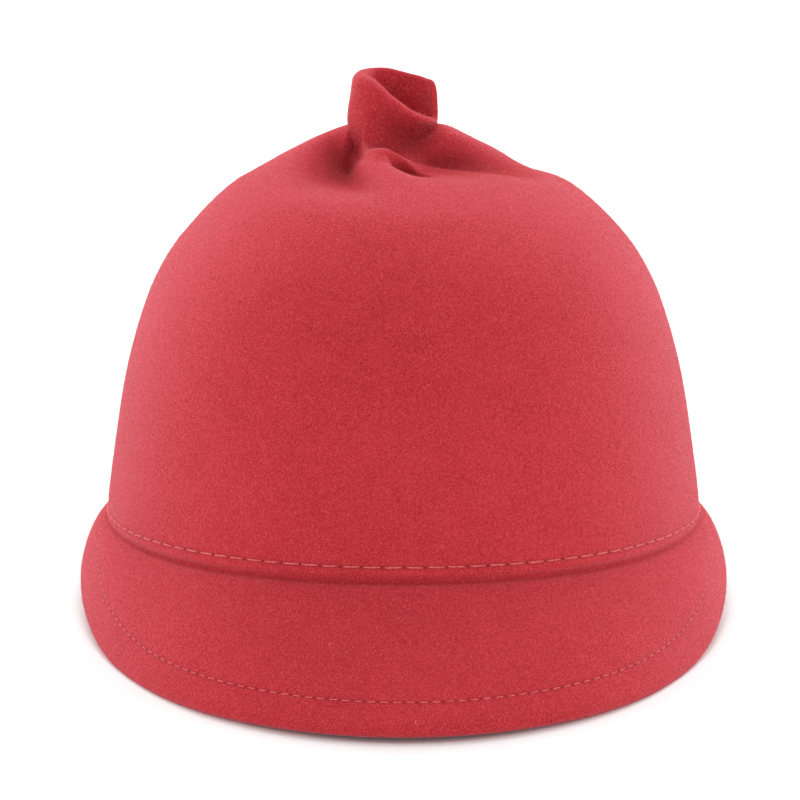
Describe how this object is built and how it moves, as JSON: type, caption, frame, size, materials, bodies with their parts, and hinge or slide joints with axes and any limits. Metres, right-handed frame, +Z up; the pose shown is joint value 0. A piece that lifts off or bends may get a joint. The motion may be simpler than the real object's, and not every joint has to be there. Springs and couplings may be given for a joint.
{
  "type": "felt hat",
  "caption": "One-piece felt hat: a domed crown drawn up into a small twist, and a short peak that slopes down all round the front, with a stitched hem.",
  "frame": {"origin": "centre of the outline at the height of the surface that the hat rests on", "axes": "-Y towards the front, where the peak is; +Z up; +X to the right when seen from the front"},
  "size_m": [0.1858, 0.244, 0.1477],
  "materials": {
    "felt": "soft wool felt, matt with a short nap"
  },
  "bodies": {
    "root": {"felt_body": "felt"}
  },
  "joints": []
}
